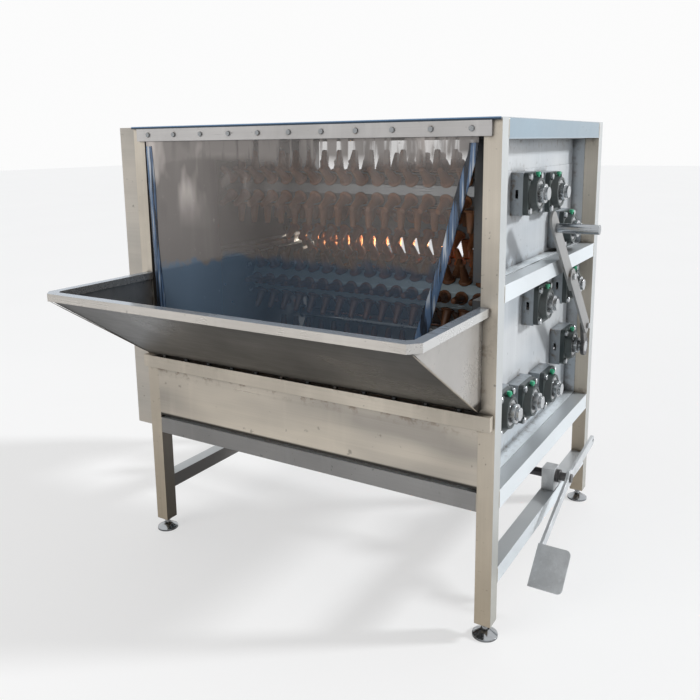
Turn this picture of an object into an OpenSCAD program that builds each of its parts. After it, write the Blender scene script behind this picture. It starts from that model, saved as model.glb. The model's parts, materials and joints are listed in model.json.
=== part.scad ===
// Horizontal roller plucker: birds go in over a front hopper, tumble among eight rollers set with
// rubber fingers, and leave through a flap at the back that a hand lever opens.
// Millimetres. +X to the machine's right, +Y to its back, +Z up. The origin is on the floor,
// midway between the four feet.

/* [Frame] */
// Width over the posts
frame_w = 1334; // [1300:1:1500]
// Depth over the posts
frame_d = 1072; // [1060:1:1200]
// Height of the posts' tops above the floor
frame_h = 1500; // [1480:1:1600]
// Side of the square post tube
post = 50; // [40:1:60]
// Wall of the post and rail tubes
tube_wall = 2; // [1.5:0.5:4]
// Clear height under the posts, taken up by the feet
post_bottom = 44; // [35:1:60]
// Height of the side and back rails at the top
top_rail_h = 55; // [45:1:70]
// Height of the rail over the feed opening
front_rail_h = 45; // [35:1:48]
// Top of the side rails at mid height
mid_rail_top = 1053; // [1050:1:1060]
// Height of the mid rails, the foot rails and the rail over the outlet
rail_h = 50; // [40:1:52]
// Top of the low rails
low_rail_top = 455; // [440:1:460]
// Height of the low rails
low_rail_h = 58; // [40:1:70]
// Top of the two foot rails
foot_rail_top = 212; // [180:1:230]
// Underside of the rail over the outlet at the back
outlet_top = 742; // [735:1:780]

/* [Sheet metal] */
// Thickness of the covers, the side panels and the hopper
sheet = 2; // [1.5:0.5:3]
// How far the side panels are set in from the posts' inner faces
panel_recess = 42; // [30:1:55]
// Width of the lip that fixes a side panel to the rails above and below it
panel_lip = 20; // [12:1:20]
// Thickness of the plates behind the bearings
plate_t = 2; // [2:1:6]
// Thickness of the drive guard beside the frame
guard_w = 66; // [60:1:90]
// Top of the lower rear sheet
rear_strip_top = 890; // [860:1:920]
// Lower edge of the upper rear sheet
rear_panel_bottom = 1066; // [1020:1:1100]
// Top of the upper rear sheet
rear_panel_top = 1316; // [1200:1:1400]
// Underside of the drive guard
guard_bottom = 420; // [400:1:440]
// Depth of the beam under the hopper
beam_d = 24; // [20:1:40]
// Underside of that beam
beam_bottom = 652; // [640:1:660]
// Top of that beam
beam_top = 695; // [685:1:700]
// Gap under the front skirt
skirt_gap = 11; // [5:1:20]

/* [Hopper] */
// Height of the hopper's bottom edge
hopper_bottom = 706; // [702:1:720]
// Height of the hopper's rim
hopper_top = 997; // [980:1:1040]
// How far the rim stands out from the posts
hopper_reach = 441; // [380:1:480]
// Width over the hopper's side plates
hopper_w = 1250; // [1240:1:1270]
// Depth of the flat along the hopper's bottom edge
hopper_foot = 26; // [25:1:35]
// Width of the folded rim
rim_w = 30; // [24:1:40]
// Height of the folded rim
rim_h = 24; // [20:1:30]
// Cut across the rim's front corners
rim_chamfer = 28; // [22:1:29]

/* [Curtain] */
// Height of the clamping strip over the curtain
strip_h = 41; // [30:1:44]
// Thickness of the clamping strip
strip_t = 10; // [6:1:14]
// Number of bolts through the strip
strip_bolts = 11; // [5:1:15]
// Thickness of the clear curtain
curtain_t = 2; // [1:0.5:3]
// Lower edge of the curtain
curtain_bottom = 800; // [760:1:900]
// How far its lower right corner is drawn in
curtain_draw = 170; // [0:1:250]

/* [Rollers] */
// Distance from a roller's axis to the flats of its drum
drum_r = 60; // [55:1:62]
// Wall of the drum
drum_wall = 3; // [2:0.5:5]
// Clear gap between a drum and the side panels
drum_gap = 28; // [24:1:45]
// Radius of the shafts in the flange bearings
shaft_r = 20; // [17:0.5:22]
// How far a shaft stands out of its bearing
shaft_stub = 10; // [4:1:14]
// Radius that the fingers' tips reach
finger_reach = 135; // [120:1:138]
// Spacing of the fingers along a roller
finger_pitch = 63; // [60:1:75]
// Fingers in a row
fingers_in_row = 17; // [10:1:17]
// Pairs of opposite rows of fingers
finger_row_pairs = 3; // [2:1:3]
// Radius of a finger at its shoulder
finger_shoulder_r = 24; // [19:0.5:26]
// Radius of a finger at its root
finger_root_r = 18; // [14:0.5:18.5]
// Radius of a finger at its tip
finger_tip_r = 11; // [8:0.5:12]
// Radius of a finger's head inside the drum
finger_head_r = 14; // [12:0.5:14.5]
// Radius of a finger's neck
finger_neck_r = 9; // [7:0.5:10]

/* [Bearings] */
// Side of the square bearing flange
flange = 130; // [125:1:140]
// Thickness of the flange
flange_t = 15; // [12:1:18]
// Distance between the flange's bolts
flange_bolts = 102; // [96:1:106]
// Length of a bearing over its inner ring
bearing_len = 51; // [48:1:56]
// Radius of the seat in the bearing housing
bearing_seat_r = 40; // [36:1:42]
// Length of the box behind a bearing
standoff_len = 38; // [30:1:45]
// Radius of the bearing bolts
bolt_r = 6; // [5:0.5:7]

/* [Outlet flap] */
// Length of the flap from its shaft
flap_len = 190; // [150:1:195]
// Length of the flap's upper leaf from its shaft
flap_top_len = 86; // [60:1:90]
// Thickness of the flap
flap_t = 3; // [2:0.5:5]
// Width of the lever's flat bars
lever_w = 55; // [45:1:60]
// Thickness of the lever's flat bars
lever_t = 8; // [6:1:10]
// Radius of the lever's grip
grip_r = 15; // [12:0.5:18]
// Length of the lever's grip
grip_len = 130; // [100:1:180]

/* [Pedal] */
// Radius of the pedal's cross shaft
pedal_shaft_r = 15; // [12:0.5:18]
// Width of the pedal's arm
pedal_arm_w = 36; // [30:1:45]
// Thickness of the pedal's arm
pedal_arm_t = 10; // [8:1:14]
// Width of the foot plate
pedal_plate_w = 106; // [90:1:130]
// Length of the foot plate
pedal_plate_l = 140; // [120:1:150]
// Thickness of the foot plate
pedal_plate_t = 6; // [4:1:8]

/* [Drive] */
// Outside radius of the belt pulleys
pulley_r = 70; // [66:1:74]
// Depth of a belt groove
groove_depth = 12; // [10:1:14]
// Spacing of the belt grooves
groove_pitch = 15; // [14:0.5:17]
// Width of a belt
belt_w = 11; // [9:0.5:12]
// Thickness of a belt
belt_t = 9; // [7:0.5:10]
// Radius of the motor's body
motor_r = 78; // [70:1:80]
// Length of the motor's body
motor_len = 250; // [220:1:280]

/* [Feet] */
// Radius of a foot's pad
pad_r = 38; // [30:1:45]
// Height of a foot's pad
pad_h = 22; // [16:1:26]
// Radius of a foot's threaded stem
stem_r = 8; // [6:0.5:10]

/* [Hidden] */
$fn = 48;
// Clearances: a running shaft, a bolt in its hole, a seat that only touches, a hung edge, a bar's side,
// and the end float of a shaft
run = 0.05;
bolt_gap = 0.6;
seat = 0.02;
hang = 0.6;
slim = 0.05;
running_gap = 0.3;

hw = frame_w / 2;
hd = frame_d / 2;
post_x = hw - post;
post_y = hd - post;
panel_x = post_x - panel_recess;
seat_x = panel_x + plate_t;
flange_x = seat_x + standoff_len;
shaft_end = flange_x + bearing_len + shaft_stub;
drum_half = panel_x - sheet - drum_gap;
mid_rail_bottom = mid_rail_top - rail_h;
strip_bottom = frame_h - 6 - strip_h;

// Where each roller's axis stands, front to back and up: [name, y, z, angle of its first row, half step]
rollers = [
    ["top_front", -140, 1280, 26, 0],
    ["top_rear", 80, 1272, 10, 1],
    ["back_upper", 255, 1132, 40, 0],
    ["back_lower", 330, 920, 5, 1],
    ["centre", 0, 908, 58, 0],
    ["floor_rear", 92, 590, 22, 0],
    ["floor_middle", -127, 610, 48, 1],
    ["floor_front", -346, 640, 15, 0]
];
roller_count = len(rollers);
motor_at = [660, 1000];
flap_at = [330, 690];
flap_angle = -118;
// The rollers and the flap run in the same bearings
bearing_axes = concat([for (r = rollers) [r[1], r[2]]], [flap_at]);
// Lever in the plane of the machine's side: foot of the lower bar, where the bars meet, the grip
lever_foot = [303, 775];
lever_knee = [85, 990];
lever_grip_at = [-100, 1172];
lever_over = 38;
crank_t = 12;
crank_x = shaft_end + 4;
lever_x = crank_x + crank_t;
// Pedal in the same plane: pivot, rear end, and where the foot plate starts
pedal_at = [110, 262];
pedal_rear = [426, 292];
pedal_front = [-210, 138];
pedal_plate_angle = 42;
pedal_x = hw + 37;
pedal_block_len = 44;
pedal_block_x = post_x + 3;

// Pulleys hang outside the left posts, three grooves to each
pulley_gap = 5;
pulley_edge = 1.5;
pulley_x = -hw - pulley_gap;
pulley_len = 3 * groove_pitch + 2 * pulley_edge;
belt_r = pulley_r - groove_depth + seat;
// Belts: [from, to, groove]; one past the last roller is the motor
belts = [[8, 3, 0], [3, 2, 1], [2, 1, 0], [1, 0, 1], [3, 4, 2], [4, 5, 0], [5, 6, 1], [6, 7, 0]];
function pulley_at(i) = i < roller_count ? [rollers[i][1], rollers[i][2]] : motor_at;
function groove_x(g) = pulley_x - pulley_edge - groove_pitch * (g + 0.5);

steel = [0.74, 0.72, 0.68];
bright = [0.80, 0.82, 0.84];
cast = [0.13, 0.19, 0.19];
rubber = [0.33, 0.27, 0.24];
dark = [0.20, 0.20, 0.21];
clear = [0.45, 0.52, 0.60, 0.35];

// A cylinder along +X from x = 0
module rod_x(r, len) {
    rotate([0, 90, 0]) cylinder(r = r, h = len);
}

// A flat outline drawn in (y, z), thickened along +X from x
module plate_x(x, t) {
    translate([x, 0, 0]) rotate([90, 0, 90]) linear_extrude(t) children();
}

// A box tube between two corners, open along one axis (0, 1 or 2)
module box_tube(low, high, axis) {
    size = high - low;
    wall = [for (i = [0:2]) i == axis ? -1 : tube_wall];
    difference() {
        translate(low) cube(size);
        translate(low + wall) cube(size - 2 * wall);
    }
}

// A flat bar between two points of (y, z) with round ends, a hair slimmer between them
module bar_outline(a, b, w) {
    d = b - a;
    straight = w - 2 * slim;
    translate(a) circle(w / 2);
    translate(b) circle(w / 2);
    translate(a) rotate(atan2(d[1], d[0])) translate([0, -straight / 2]) square([norm(d), straight]);
}

// A hexagon head or nut along +X
module hex_x(r, len) {
    rotate([0, 90, 0]) cylinder(r = r, h = len, $fn = 6);
}

// Children on the machine's right side, and mirrored on its left
module both_sides() {
    children();
    mirror([1, 0, 0]) children();
}

// Children at each bearing's axis, with x = 0 on its mounting face, facing out
module at_bearings() {
    both_sides() for (a = bearing_axes) translate([flange_x, a[0], a[1]]) children();
}

module at_corners() {
    for (sx = [-1, 1], sy = [-1, 1]) translate([sx * (hw - post / 2), sy * (hd - post / 2), 0]) children();
}

module at_flange_bolts() {
    half = flange_bolts / 2;
    for (sy = [-1, 1], sz = [-1, 1]) translate([0, sy * half, sz * half]) children();
}

module frame_posts() {
    end_plate = 5;
    color(steel) at_corners() difference() {
        translate([-post / 2, -post / 2, post_bottom]) cube([post, post, frame_h - post_bottom]);
        translate([-post / 2 + tube_wall, -post / 2 + tube_wall, post_bottom + end_plate])
            cube([post - 2 * tube_wall, post - 2 * tube_wall, frame_h]);
        translate([0, 0, post_bottom - 1]) cylinder(r = stem_r + run, h = end_plate + 2);
    }
}

module side_rail(top, h) {
    both_sides() box_tube([post_x, -post_y, top - h], [hw, post_y, top], 1);
}

module cross_rail(back, top, h) {
    y = back ? post_y : -hd;
    box_tube([-post_x, y, top - h], [post_x, y + post, top], 0);
}

module frame_rails() {
    color(steel) {
        side_rail(frame_h, top_rail_h);
        side_rail(mid_rail_top, rail_h);
        side_rail(low_rail_top, low_rail_h);
        side_rail(foot_rail_top, rail_h);
        cross_rail(false, frame_h, front_rail_h);
        cross_rail(false, low_rail_top, low_rail_h);
        cross_rail(true, frame_h, top_rail_h);
        cross_rail(true, outlet_top + rail_h, rail_h);
        cross_rail(true, low_rail_top, low_rail_h);
    }
}

module front_beam() {
    color(steel) difference() {
        translate([-hw + 6, -hd - beam_d, beam_bottom]) cube([frame_w - 12, beam_d, beam_top - beam_bottom]);
        translate([-post_x, -hd - beam_d + sheet, beam_bottom + sheet])
            cube([2 * post_x, beam_d, beam_top - beam_bottom - 2 * sheet]);
    }
}

module front_skirt() {
    color(steel) translate([-post_x, -hd, low_rail_top + skirt_gap])
        cube([2 * post_x, sheet, beam_top - low_rail_top - skirt_gap]);
}

module top_cover() {
    hem = 7.5;
    color(bright) {
        translate([-hw, -hd, frame_h]) cube([frame_w, frame_d, sheet]);
        translate([-hw, -hd - strip_t, frame_h + sheet - hem]) cube([frame_w, strip_t, hem]);
    }
}

// A sheet between the rear posts with its upper and lower edges folded in
module rear_panel(bottom, top) {
    lip = 14;
    difference() {
        translate([-post_x, hd - lip, bottom]) cube([2 * post_x, lip, top - bottom]);
        translate([-post_x - 1, hd - lip - 1, bottom + sheet])
            cube([2 * post_x + 2, lip + 1 - sheet, top - bottom - 2 * sheet]);
    }
}

// Two sheets that leave the back open behind the rollers' gaps
module rear_cover() {
    color(steel) {
        rear_panel(outlet_top + rail_h, rear_strip_top);
        rear_panel(rear_panel_bottom, rear_panel_top);
    }
}

// The holes that a bearing and its shaft need in a panel or plate
module shaft_holes(x, len) {
    shaft_gap = 10;
    for (a = bearing_axes) translate([x, a[0], a[1]]) {
        rod_x(shaft_r + shaft_gap, len);
        at_flange_bolts() rod_x(bolt_r + bolt_gap, len);
    }
}

// A side panel between two rails: a flat pan with its walls folded out to a fixing lip
module side_pan(bottom, top) {
    difference() {
        union() {
            translate([panel_x - sheet, -post_y, bottom])
                cube([panel_recess + sheet, 2 * post_y, top - bottom]);
            translate([post_x - sheet, -post_y, bottom - panel_lip])
                cube([sheet, 2 * post_y, top - bottom + 2 * panel_lip]);
        }
        translate([panel_x, -post_y + sheet, bottom + sheet])
            cube([panel_recess + 1, 2 * (post_y - sheet), top - bottom - 2 * sheet]);
        shaft_holes(panel_x - sheet - 1, sheet + 2);
    }
}

module side_pans() {
    side_pan(low_rail_top, mid_rail_bottom);
    side_pan(mid_rail_top, frame_h - top_rail_h);
}

module right_side_panels() {
    color(bright) side_pans();
}

module left_side_panels() {
    color(bright) mirror([1, 0, 0]) side_pans();
}

// Plates that spread the bearings' load over the panels
module bearing_plates() {
    edge = 14;
    color(bright) both_sides() difference() {
        union() {
            translate([panel_x, -post_y + edge + 40, low_rail_top + edge])
                cube([plate_t, 2 * post_y - 2 * edge - 40, mid_rail_bottom - low_rail_top - 2 * edge]);
            translate([panel_x, -260, mid_rail_top + sheet])
                cube([plate_t, 260 + post_y - edge, 296]);
        }
        shaft_holes(panel_x - 1, plate_t + 2);
    }
}

// Box behind a bearing, with a slot in its front wall
module bearing_standoffs() {
    wall = 4;
    slot = [9, 26];
    color(bright) at_bearings() difference() {
        translate([-standoff_len, -flange / 2, -flange / 2]) cube([standoff_len, flange, flange]);
        translate([-standoff_len - 1, -flange / 2 + wall, -flange / 2 + wall])
            cube([standoff_len + 2, flange - 2 * wall, flange - 2 * wall]);
        translate([-(standoff_len + slot[0]) / 2, -flange / 2 - 1, -slot[1] / 2])
            cube([slot[0], wall + 2, slot[1]]);
    }
}

// Square flange with round corners, a tapered hub and a seat for the insert
module bearing_housings() {
    corner = 18;
    in = flange / 2 - corner;
    hub_len = 36;
    color(cast) at_bearings() difference() {
        union() {
            plate_x(0, flange_t) {
                square([flange, 2 * in], center = true);
                square([2 * in, flange], center = true);
                for (sy = [-1, 1], sz = [-1, 1]) translate([sy * in, sz * in]) circle(corner);
            }
            rotate([0, 90, 0]) cylinder(r1 = flange / 2 - 5, r2 = bearing_seat_r + 8, h = hub_len);
        }
        translate([-1, 0, 0]) rod_x(bearing_seat_r, hub_len + 2);
        at_flange_bolts() translate([-1, 0, 0]) rod_x(bolt_r + bolt_gap, flange_t + 2);
        // clear the bolt heads where the hub swells into the flange
        at_flange_bolts() translate([flange_t, 0, 0]) rod_x(2.2 * bolt_r, hub_len);
    }
}

// Insert: the ring in its seat and the long collar that grips the shaft
module bearing_inserts() {
    ring = [6, 34];
    collar_r = 29;
    color(bright) at_bearings() difference() {
        union() {
            translate([ring[0], 0, 0]) rod_x(bearing_seat_r - seat, ring[1] - ring[0]);
            translate([ring[1], 0, 0]) rod_x(collar_r, bearing_len - ring[1]);
        }
        rod_x(shaft_r + run, bearing_len + 1);
    }
}

// Bolt through flange, standoff and panel, with its nut inside
module bearing_bolts() {
    head = 8;
    nut = 9;
    back = standoff_len + plate_t + sheet;
    color(bright) at_bearings() at_flange_bolts() {
        translate([flange_t, 0, 0]) hex_x(1.75 * bolt_r, head);
        translate([-back - nut - 3, 0, 0]) rod_x(bolt_r, back + nut + 3 + flange_t);
        translate([-back - nut, 0, 0]) hex_x(1.75 * bolt_r, nut);
    }
}

// Plastic cap on the grease nipple at the top of each housing
module grease_caps() {
    x = 25;
    color([0.05, 0.55, 0.32]) at_bearings() difference() {
        translate([x, 0, bearing_seat_r + 5]) {
            cylinder(r = 5, h = 14);
            translate([0, 0, 12]) cylinder(r1 = 9, r2 = 7, h = 9);
        }
        rotate([0, 90, 0]) cylinder(r1 = flange / 2 - 5 + seat, r2 = bearing_seat_r + 8 + seat, h = 36);
    }
}

rim_y = -hd - hopper_reach;
hopper_lip = rim_y + rim_w / 2;

// The hopper's side outline in (y, z), moved in by t and run out past its open top and back
module hopper_outline(t, over) {
    slope = atan2(hopper_top - rim_h - hopper_bottom, -hd - hopper_foot - hopper_lip);
    rise = t / cos(slope) - t * tan(slope);
    polygon([
        [-hd + over, hopper_bottom + t],
        [-hd - hopper_foot + t * tan(slope / 2), hopper_bottom + t],
        [hopper_lip + t, hopper_top - rim_h + rise],
        [hopper_lip + t, hopper_top - sheet + over],
        [-hd + over, hopper_top - sheet + over]
    ]);
}

module hopper_shell() {
    color(steel) difference() {
        plate_x(-hopper_w / 2, hopper_w) hopper_outline(0, 0);
        plate_x(-hopper_w / 2 + sheet, hopper_w - 2 * sheet) hopper_outline(sheet, 1);
    }
}

// The rim seen from above: a band round the hopper's front and sides with its corners cut
module rim_band(inset) {
    half = hopper_w / 2 + rim_w / 2 + 4 - inset;
    front = rim_y + inset;
    back = -hd;
    cut = rim_chamfer - inset * tan(22.5);
    polygon([
        [-half, back], [-half, front + cut], [-half + cut, front],
        [half - cut, front], [half, front + cut], [half, back]
    ]);
}

module hopper_rim() {
    color(bright) translate([0, 0, hopper_top - rim_h]) difference() {
        linear_extrude(rim_h) difference() {
            rim_band(0);
            translate([0, 1]) rim_band(rim_w);
        }
        translate([0, 0, -1]) linear_extrude(rim_h - sheet + 1) difference() {
            rim_band(sheet);
            rim_band(rim_w - sheet);
        }
    }
}

module strip_bolt_places() {
    step = (2 * post_x - 60) / (strip_bolts - 1);
    for (i = [0:strip_bolts - 1]) translate([-post_x + 30 + i * step, -hd, strip_bottom + strip_h / 2])
        rotate([0, 0, -90]) children();
}

module clamp_strip() {
    bolt = 4;
    color(steel) difference() {
        translate([-hw + post / 2, -hd - strip_t, strip_bottom]) cube([frame_w - post, strip_t, strip_h]);
        strip_bolt_places() translate([-1, 0, 0]) rod_x(bolt + bolt_gap, strip_t + 2);
    }
}

// The strip's bolts, and the spacers that carry the hopper's bottom edge on the beam
module front_bolts() {
    spacers = 12;
    step = (hopper_w - 120) / (spacers - 1);
    color(bright) {
        strip_bolt_places() {
            rod_x(4, strip_t);
            translate([strip_t, 0, 0]) hex_x(8, 5);
        }
        for (i = [0:spacers - 1]) translate([-hopper_w / 2 + 60 + i * step, -hd - hopper_foot / 2, beam_top])
            cylinder(r = 8, h = hopper_bottom - beam_top);
    }
}

// Clear sheet under the strip: its edges are rolled up, and its lower right corner is drawn in
module curtain() {
    half = post_x - 12;
    top = strip_bottom - hang;
    roll_top = top - 45;
    left = [[-half, roll_top], [-half + 8, curtain_bottom]];
    right = [[half, roll_top], [half - curtain_draw, curtain_bottom]];
    color(clear) translate([0, -hd - 4, 0]) {
        rotate([90, 0, 0]) translate([0, 0, -curtain_t / 2]) linear_extrude(curtain_t)
            polygon([[-half, top], left[0], left[1], right[1], right[0], [half, top]]);
        for (edge = [left, right]) rolled_edge(edge[0], edge[1]);
    }
}

// A roll of sheet between two points of (x, z), wider towards its lower end
module rolled_edge(a, b) {
    d = b - a;
    translate([a[0], 0, a[1]]) rotate([0, atan2(d[0], d[1]), 0]) cylinder(r1 = 6, r2 = 10, h = norm(d));
}

// Guard over the belts: open towards the frame, with a nose round the motor's pulley
module drive_guard() {
    room = pulley_r + 18;
    strand_drop = 34;
    nose_y = motor_at[0] + room;
    nose_top = motor_at[1] + room;
    nose_bottom = motor_at[1] - room - strand_drop;
    deep = guard_w - sheet;
    color(steel) difference() {
        union() {
            translate([-hw - guard_w, -hd, guard_bottom]) cube([guard_w, frame_d, frame_h - guard_bottom]);
            translate([-hw - guard_w, hd, nose_bottom]) cube([guard_w, nose_y - hd, nose_top - nose_bottom]);
        }
        translate([-hw - deep, -hd + sheet, guard_bottom + sheet])
            cube([deep + 1, frame_d - 2 * sheet, frame_h - guard_bottom - 2 * sheet]);
        translate([-hw - deep, hd - sheet - 1, nose_bottom + sheet])
            cube([deep - sheet, nose_y - hd + 1, nose_top - nose_bottom - 2 * sheet]);
        translate([-hw - sheet - 1, motor_at[0], motor_at[1]]) rod_x(shaft_r + 8, sheet + 2);
    }
}

gearbox_len = 80;
gearbox_bore = 59;
gearbox_half = motor_r;
gearbox_x = -hw + 25;

// Gear case with a cover ring round the shaft's bore
module drive_gearbox() {
    half = gearbox_half;
    ring = 6;
    color([0.23, 0.30, 0.38]) translate([gearbox_x, motor_at[0], motor_at[1]]) difference() {
        union() {
            translate([ring, -half, -half]) cube([gearbox_len - ring, 2 * half, 2 * half]);
            rod_x(half - 12, ring + 1);
        }
        translate([-1, 0, 0]) rod_x(shaft_r + run, gearbox_bore + 1);
    }
}

// Finned motor on the gear case, with a fan cowl and a terminal box
module drive_motor() {
    fins = 24;
    fin_t = 3;
    fin_h = 9;
    cowl = 56;
    bell = 18;
    box = [100, 90, 52];
    box_x = 40;
    box_in = 20;
    brim = 4;
    lid = 8;
    gland_r = 11;
    gland_len = 26;
    color([0.23, 0.30, 0.38]) translate([gearbox_x + gearbox_len, motor_at[0], motor_at[1]]) {
        rod_x(motor_r - fin_h + 1, motor_len);
        rod_x(motor_r - 2, bell);
        translate([motor_len - cowl, 0, 0]) rod_x(motor_r, cowl);
        for (i = [0:fins - 1]) rotate([(i + 0.5) * 360 / fins, 0, 0])
            translate([bell - 1, -fin_t / 2, motor_r - fin_h - 2])
                cube([motor_len - cowl - bell + 2, fin_t, fin_h]);
        translate([box_x, -box[1] / 2, motor_r - box_in]) cube(box);
        translate([box_x - brim, -box[1] / 2 - brim, motor_r - box_in + box[2]])
            cube([box[0] + 2 * brim, box[1] + 2 * brim, lid]);
        translate([box_x + box[0], box_in, motor_r + lid]) rod_x(gland_r, gland_len);
    }
}

module motor_bracket() {
    plate = 6;
    plate_h = 230;
    drop = 90;
    side_gap = 27;
    toe = 30;
    nose = 20;
    rib_in = [60, 40];
    top = motor_at[1] - gearbox_half;
    depth = motor_at[0] + gearbox_half - hd;
    end_x = gearbox_x + gearbox_len + motor_len;
    color(steel) {
        translate([-hw, hd, top - drop]) cube([end_x + hw, plate, plate_h]);
        translate([-hw + side_gap, hd + plate, top - plate])
            cube([end_x + hw - side_gap, depth - plate, plate]);
        for (x = [-hw + rib_in[0], end_x - rib_in[1]]) plate_x(x, plate)
            polygon([
                [hd + plate, top - plate], [hd + plate, top - drop],
                [hd + plate + toe, top - drop], [hd + depth - nose, top - plate]
            ]);
    }
}

// Three-groove pulley along -X from x = 0
module pulley() {
    g = groove_pitch;
    land = (g - belt_w - 1) / 2;
    rotate([0, -90, 0]) difference() {
        cylinder(r = pulley_r, h = pulley_len);
        for (i = [0:2]) translate([0, 0, pulley_edge + g * i + land]) difference() {
            cylinder(r = pulley_r + 1, h = g - 2 * land);
            translate([0, 0, -1]) cylinder(r = pulley_r - groove_depth, h = g + 2);
        }
        translate([0, 0, -1]) cylinder(r = shaft_r + seat, h = pulley_len + 2);
    }
}

module motor_pulley() {
    color(dark) translate([0, motor_at[0], motor_at[1]]) {
        translate([pulley_x, 0, 0]) pulley();
        translate([pulley_x - pulley_len, 0, 0])
            rod_x(shaft_r, gearbox_x + gearbox_bore - 1 - pulley_x + pulley_len);
    }
}

// Belt round two equal pulleys
module belt_outline(a, b, r) {
    bar_outline(a, b, 2 * r);
}

module drive_belts() {
    color([0.09, 0.09, 0.10]) for (b = belts) plate_x(groove_x(b[2]) - belt_w / 2, belt_w) difference() {
        belt_outline(pulley_at(b[0]), pulley_at(b[1]), belt_r + belt_t);
        belt_outline(pulley_at(b[0]), pulley_at(b[1]), belt_r);
    }
}

module flap_shaft() {
    color(bright) translate([-shaft_end, flap_at[0], flap_at[1]]) rod_x(shaft_r, lever_x + shaft_end);
}

// Sheet flap welded along the shaft: a long leaf with its free edge folded back and a short one upwards
module outlet_flap() {
    half = drum_half + 8;
    fold = 22;
    color(steel) translate([0, flap_at[0], flap_at[1]]) {
        rotate([flap_angle, 0, 0]) {
            translate([-half, shaft_r, -flap_t / 2]) cube([2 * half, flap_len - shaft_r, flap_t]);
            translate([-half, flap_len - flap_t, flap_t / 2]) cube([2 * half, flap_t, fold]);
        }
        translate([-half, -flap_t / 2, shaft_r]) cube([2 * half, flap_t, flap_top_len - shaft_r]);
    }
}

module lever_crank() {
    color(dark) plate_x(crank_x, crank_t) difference() {
        union() {
            translate(flap_at) circle(shaft_r + 14);
            bar_outline(flap_at, lever_foot, 40);
        }
        translate(flap_at) circle(shaft_r + seat);
        translate(lever_foot) circle(bolt_r + bolt_gap);
    }
}

lever_dir = (lever_knee - lever_grip_at) / norm(lever_knee - lever_grip_at);
lever_up = lever_grip_at - lever_dir * lever_over;

// Two flat bars that overlap at the knee: the lower one lies outside
module lever_bars() {
    knee_in = lever_knee + lever_dir * lever_over;
    color(steel) {
        plate_x(lever_x, lever_t) difference() {
            bar_outline(lever_foot, lever_knee, lever_w);
            translate(lever_foot) circle(bolt_r + bolt_gap);
            translate(lever_knee) circle(bolt_r + bolt_gap);
        }
        plate_x(lever_x - lever_t, lever_t) difference() {
            bar_outline(knee_in, lever_up, lever_w);
            translate(lever_knee) circle(bolt_r + bolt_gap);
        }
    }
}

// Tube grip welded square to the upper bar, closed at its end
module lever_grip() {
    wall = 2.5;
    color(bright) translate([lever_x, lever_grip_at[0], lever_grip_at[1]]) difference() {
        rod_x(grip_r, grip_len);
        translate([-1, 0, 0]) rod_x(grip_r - wall, grip_len - wall);
    }
}

module lever_bolts() {
    head = 8;
    color(bright) for (p = [[lever_foot, crank_x, crank_t], [lever_knee, lever_x - lever_t, lever_t]])
        translate([p[1], p[0][0], p[0][1]]) {
            rod_x(bolt_r, p[2] + lever_t);
            translate([p[2] + lever_t, 0, 0]) hex_x(1.75 * bolt_r, head);
        }
}

// Blocks of square tube on the two foot rails
module pedal_brackets() {
    block = 60;
    color(steel) both_sides() plate_x(pedal_block_x, pedal_block_len) difference() {
        translate([pedal_at[0] - block / 2, foot_rail_top])
            square([block, pedal_at[1] + block / 2 - foot_rail_top]);
        translate(pedal_at) circle(pedal_shaft_r + run);
    }
}

// Cross shaft with a collar outside each block
module pedal_shaft() {
    over = 6;
    collar = 8;
    collar_len = 14;
    left = -hw - 16;
    color(dark) translate([0, pedal_at[0], pedal_at[1]]) {
        translate([left, 0, 0]) rod_x(pedal_shaft_r, pedal_x + pedal_arm_t + over - left);
        both_sides() translate([pedal_block_x + pedal_block_len + running_gap, 0, 0])
            rod_x(pedal_shaft_r + collar, collar_len);
    }
}

pedal_toe = pedal_front - 70 * [cos(pedal_plate_angle), sin(pedal_plate_angle)];

// Cranked flat bar keyed on the shaft, bent down under the foot plate, with a hole in its rear end
module pedal_arm() {
    color(steel) plate_x(pedal_x, pedal_arm_t) difference() {
        union() {
            bar_outline(pedal_toe, pedal_front, pedal_arm_w);
            bar_outline(pedal_front, pedal_at, pedal_arm_w);
            bar_outline(pedal_at, pedal_rear, pedal_arm_w);
            translate(pedal_at) circle(30);
        }
        translate(pedal_at) circle(pedal_shaft_r + seat);
        translate(pedal_rear) circle(bolt_r + bolt_gap);
    }
}

// Foot plate welded across the arm's front end, with its outer corners rounded
module pedal_plate() {
    corner = 16;
    w = pedal_plate_w;
    l = pedal_plate_l;
    drop = pedal_arm_w / 2;
    color(steel) translate([pedal_x, pedal_front[0], pedal_front[1]]) rotate([pedal_plate_angle, 0, 0])
        translate([0, -l + drop, drop]) linear_extrude(pedal_plate_t) {
            translate([0, corner]) square([w, l - 2 * corner]);
            square([w - corner, l]);
            for (y = [corner, l - corner]) translate([w - corner, y]) circle(corner);
        }
}

// Screw feet: a bell pad with a stem into the post's end plate
module levelling_feet() {
    rim = 6;
    nut = 10;
    stem_in = 40;
    color(bright) at_corners() {
        cylinder(r = pad_r, h = rim);
        translate([0, 0, rim]) cylinder(r1 = pad_r, r2 = 1.6 * stem_r, h = pad_h - rim);
        cylinder(r = stem_r, h = post_bottom + stem_in);
        translate([0, 0, post_bottom - nut]) cylinder(r = 1.75 * stem_r, h = nut, $fn = 6);
    }
}

// Children at a roller's axis, turned to its first row; every other roller is handed, so that the
// fingers of neighbours pass between each other
module at_roller(r) {
    translate([0, r[1], r[2]]) mirror([r[4], 0, 0]) rotate([r[3], 0, 0]) children();
}

// Children at each finger's place, standing along +Y from the roller's axis
module at_fingers() {
    first = -finger_pitch * (fingers_in_row - 1) / 2 - finger_pitch / 4;
    rows = 2 * finger_row_pairs;
    for (row = [0:rows - 1], i = [0:fingers_in_row - 1])
        rotate([row * 360 / rows, 0, 0]) translate([first + i * finger_pitch, 0, 0]) children();
}

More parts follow.
